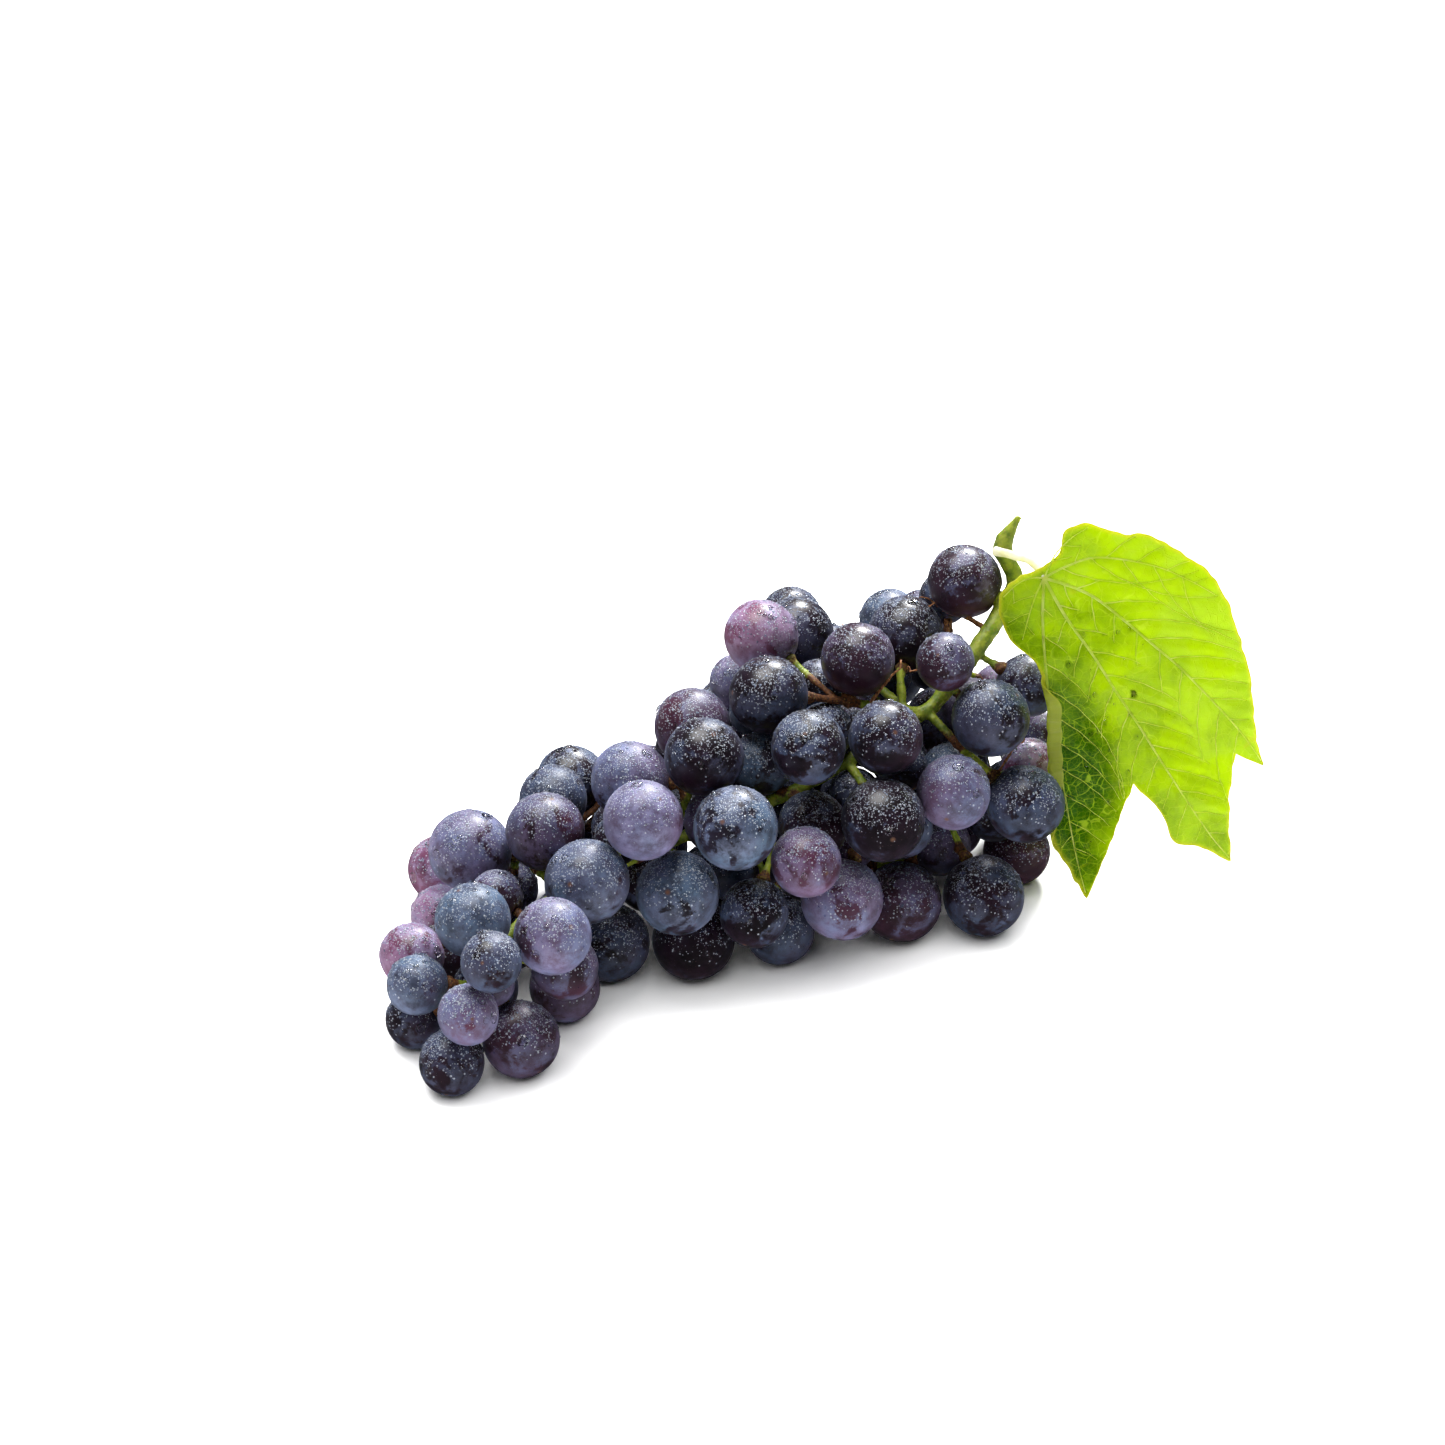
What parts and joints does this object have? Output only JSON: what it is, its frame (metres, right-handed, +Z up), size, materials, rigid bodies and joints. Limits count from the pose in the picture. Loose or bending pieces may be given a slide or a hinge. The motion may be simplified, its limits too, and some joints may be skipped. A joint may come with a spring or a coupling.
{
  "type": "bunch of grapes",
  "caption": "Tapering bunch of dark grapes lying on its side: round berries on stalks from a branching green stem, with its cut peduncle and a hanging lobed leaf.",
  "frame": {"origin": "middle of the bottom of the whole object's box, on the surface it lies on", "axes": "+X along the bunch from its tail to its stem end and leaf, +Y away from the viewer, +Z up"},
  "size_m": [0.2275, 0.152, 0.1034],
  "materials": {
    "skin_navy": "blue-black grape skin with a thin grey bloom",
    "skin_steel": "steel-blue grape skin under bloom",
    "skin_plum": "purple-maroon grape skin under bloom",
    "skin_mauve": "mauve grape skin under heavy bloom",
    "skin_rose": "pink-mauve grape skin under bloom",
    "stem_green": "fresh green stalk, browned in places",
    "leaf_green": "wet yellow-green leaf, thin and light-passing"
  },
  "bodies": {
    "root": {"berry_belly_1": "skin_steel", "berry_belly_2": "skin_mauve", "berry_belly_3": "skin_mauve", "berry_belly_4": "skin_navy", "berry_belly_5": "skin_navy", "berry_crown_1": "skin_plum", "berry_crown_2": "skin_navy", "berry_crown_3": "skin_steel", "berry_crown_4": "skin_plum", "berry_front_right_1": "skin_navy", "berry_front_right_2": "skin_navy", "berry_front_right_3": "skin_plum", "berry_hollow_back_1": "skin_navy", "berry_hollow_back_2": "skin_plum", "berry_hollow_back_3": "skin_navy", "berry_left_back_1": "skin_mauve", "berry_left_back_2": "skin_plum", "berry_left_back_3": "skin_navy", "berry_left_back_4": "skin_rose", "berry_left_front_1": "skin_steel", "berry_left_front_2": "skin_navy", "berry_left_front_3": "skin_mauve", "berry_lower_back_1": "skin_navy", "berry_lower_back_2": "skin_steel", "berry_lower_back_3": "skin_plum", "berry_middle_front_1": "skin_steel", "berry_middle_front_2": "skin_navy", "berry_middle_front_3": "skin_navy", "berry_middle_top_1": "skin_mauve", "berry_middle_top_2": "skin_plum", "berry_middle_top_3": "skin_navy", "berry_right_1": "skin_mauve", "berry_right_2": "skin_navy", "berry_right_3": "skin_navy", "berry_shoulder_1": "skin_plum", "berry_shoulder_2": "skin_navy", "berry_shoulder_3": "skin_navy", "berry_tail_1": "skin_navy", "berry_tail_2": "skin_mauve", "berry_tail_3": "skin_navy", "berry_tail_4": "skin_steel", "berry_tail_5": "skin_plum", "berry_tail_back_1": "skin_steel", "berry_tail_back_2": "skin_rose", "berry_tail_back_3": "skin_rose", "berry_tail_front_1": "skin_navy", "berry_tail_front_2": "skin_mauve", "berry_tail_front_3": "skin_plum", "berry_tail_front_4": "skin_plum", "berry_top_back_1": "skin_navy", "berry_top_back_2": "skin_navy", "berry_top_left_1": "skin_navy", "berry_top_left_2": "skin_navy", "berry_top_left_3": "skin_rose", "berry_under_right_1": "skin_navy", "berry_under_right_2": "skin_plum", "berry_under_right_3": "skin_navy", "berry_under_right_4": "skin_steel", "leaf": "leaf_green", "stem": "stem_green"}
  },
  "joints": []
}
